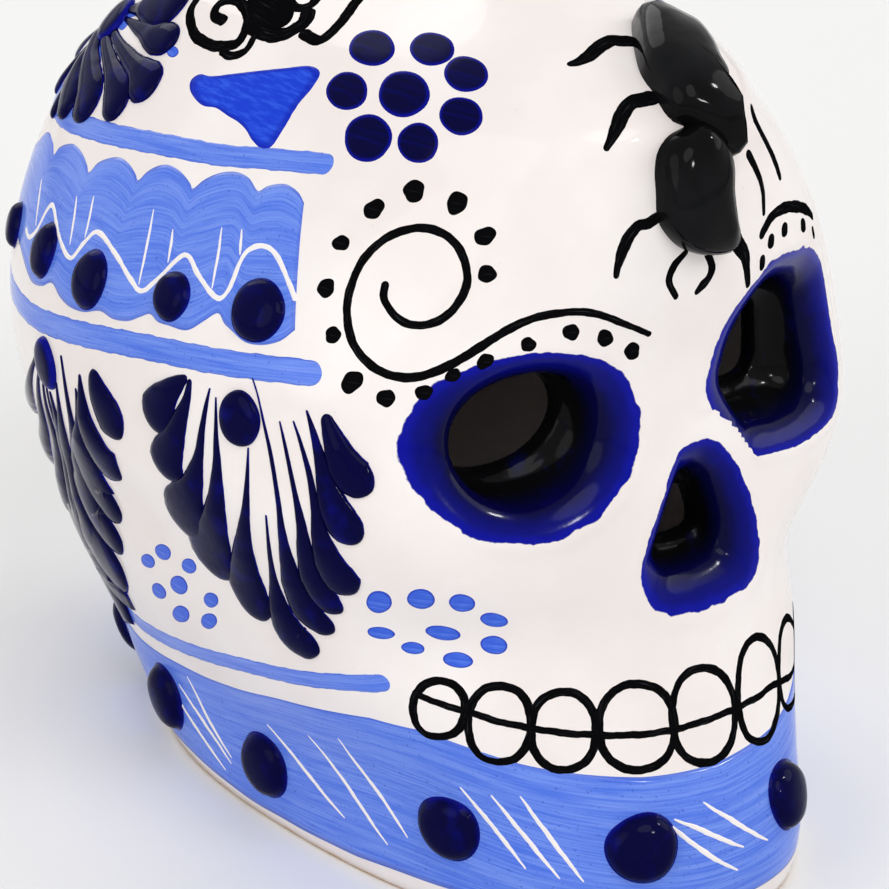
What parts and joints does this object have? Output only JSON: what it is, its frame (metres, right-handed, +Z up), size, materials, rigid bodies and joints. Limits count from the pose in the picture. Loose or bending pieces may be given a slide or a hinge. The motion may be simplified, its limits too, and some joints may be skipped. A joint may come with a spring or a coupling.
{
  "type": "ceramic skull figurine",
  "caption": "Hollow glazed ceramic skull on an open foot, with open eye sockets and nose, an applied beetle on the forehead, round clay pellets and slip petals",
  "frame": {"origin": "middle of the skull's footprint, on the surface that it stands on", "axes": "+Z up, -Y is where the face looks, +X is the skull's own left"},
  "size_m": [0.163, 0.2108, 0.1902],
  "materials": {
    "white_glaze": "glossy tin-white glaze with cobalt blue and black brush painting",
    "cobalt_glaze": "raised slip under thick glossy cobalt blue glaze",
    "black_glaze": "applied clay under glossy black glaze"
  },
  "bodies": {
    "root": {"beetle_head": "black_glaze", "beetle_tail": "black_glaze", "crown_fan_left": "cobalt_glaze", "crown_fan_right": "cobalt_glaze", "foot_dome_1": "cobalt_glaze", "foot_dome_10": "cobalt_glaze", "foot_dome_11": "cobalt_glaze", "foot_dome_2": "cobalt_glaze", "foot_dome_3": "cobalt_glaze", "foot_dome_4": "cobalt_glaze", "foot_dome_5": "cobalt_glaze", "foot_dome_6": "cobalt_glaze", "foot_dome_7": "cobalt_glaze", "foot_dome_8": "cobalt_glaze", "foot_dome_9": "cobalt_glaze", "rear_fan_left": "cobalt_glaze", "rear_fan_right": "cobalt_glaze", "side_oval_left": "cobalt_glaze", "side_oval_right": "cobalt_glaze", "side_petal_left_1": "cobalt_glaze", "side_petal_left_10": "cobalt_glaze", "side_petal_left_11": "cobalt_glaze", "side_petal_left_2": "cobalt_glaze", "side_petal_left_3": "cobalt_glaze", "side_petal_left_4": "cobalt_glaze", "side_petal_left_5": "cobalt_glaze", "side_petal_left_6": "cobalt_glaze", "side_petal_left_7": "cobalt_glaze", "side_petal_left_8": "cobalt_glaze", "side_petal_left_9": "cobalt_glaze", "side_petal_right_1": "cobalt_glaze", "side_petal_right_10": "cobalt_glaze", "side_petal_right_11": "cobalt_glaze", "side_petal_right_2": "cobalt_glaze", "side_petal_right_3": "cobalt_glaze", "side_petal_right_4": "cobalt_glaze", "side_petal_right_5": "cobalt_glaze", "side_petal_right_6": "cobalt_glaze", "side_petal_right_7": "cobalt_glaze", "side_petal_right_8": "cobalt_glaze", "side_petal_right_9": "cobalt_glaze", "skull_shell": "white_glaze", "temple_dome_left_1": "cobalt_glaze", "temple_dome_left_2": "cobalt_glaze", "temple_dome_left_3": "cobalt_glaze", "temple_dome_left_4": "cobalt_glaze", "temple_dome_left_5": "cobalt_glaze", "temple_dome_right_1": "cobalt_glaze", "temple_dome_right_2": "cobalt_glaze", "temple_dome_right_3": "cobalt_glaze", "temple_dome_right_4": "cobalt_glaze", "temple_dome_right_5": "cobalt_glaze"}
  },
  "joints": []
}
